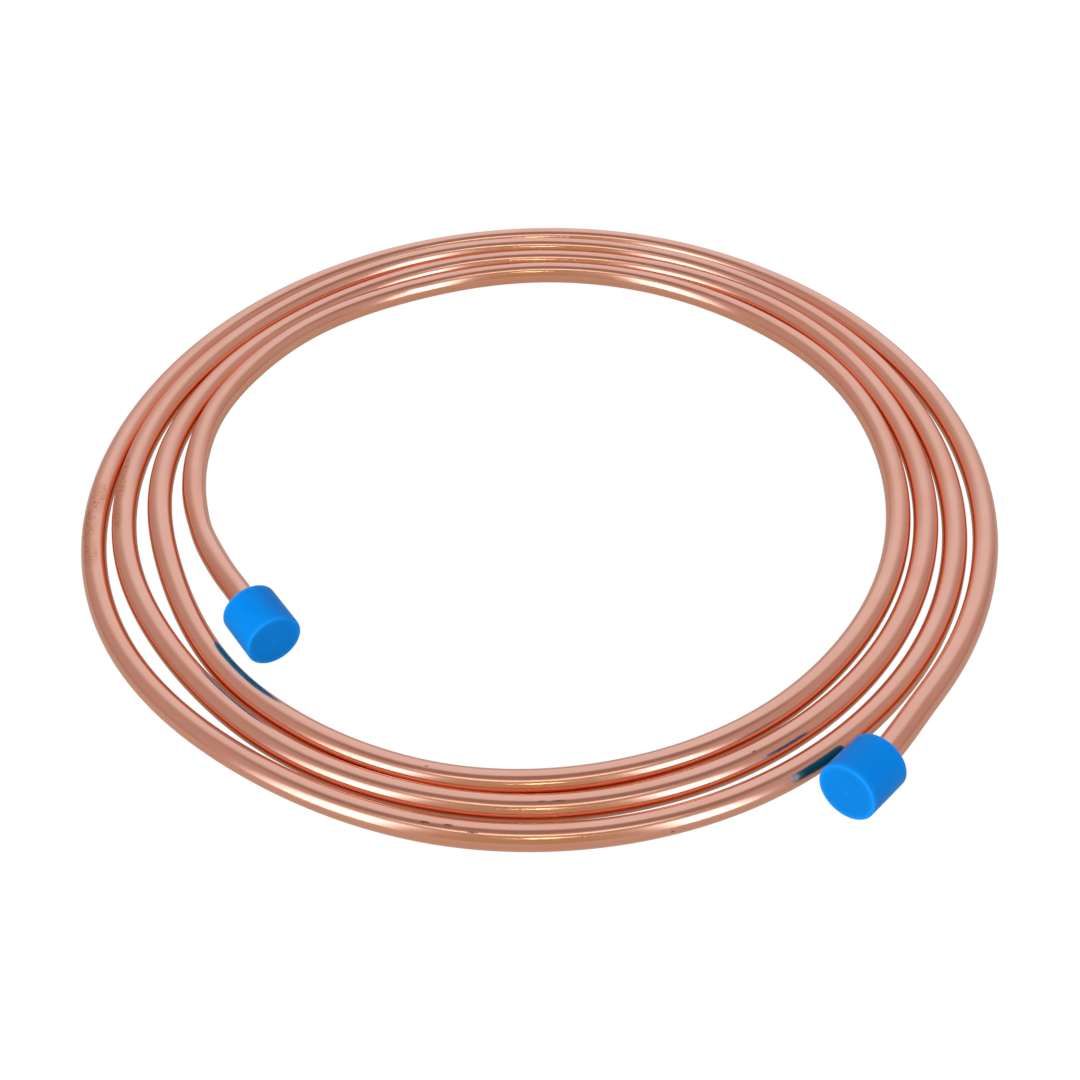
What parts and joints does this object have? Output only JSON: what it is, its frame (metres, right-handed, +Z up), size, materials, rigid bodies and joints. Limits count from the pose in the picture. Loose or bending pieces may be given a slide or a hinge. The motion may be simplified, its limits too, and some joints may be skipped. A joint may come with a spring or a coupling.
{
  "type": "copper tube coil",
  "caption": "Flat loose coil of soft copper tube lying on the floor, with a moulded plastic cap plugging each open end.",
  "frame": {"origin": "on the floor under the middle of the coil's bounding box", "axes": "+Z up, along the coil's axis; +Y towards the side opposite the outer end; the inner end lies towards -X -Y and the outer end towards +X -Y"},
  "size_m": [0.4854, 0.4736, 0.0312],
  "materials": {
    "copper": "bright drawn copper, semi-gloss",
    "cap_plastic": "satin moulded polyethylene"
  },
  "bodies": {
    "root": {"copper_tube": "copper", "inner_end_cap": "cap_plastic", "outer_end_cap": "cap_plastic"}
  },
  "joints": []
}
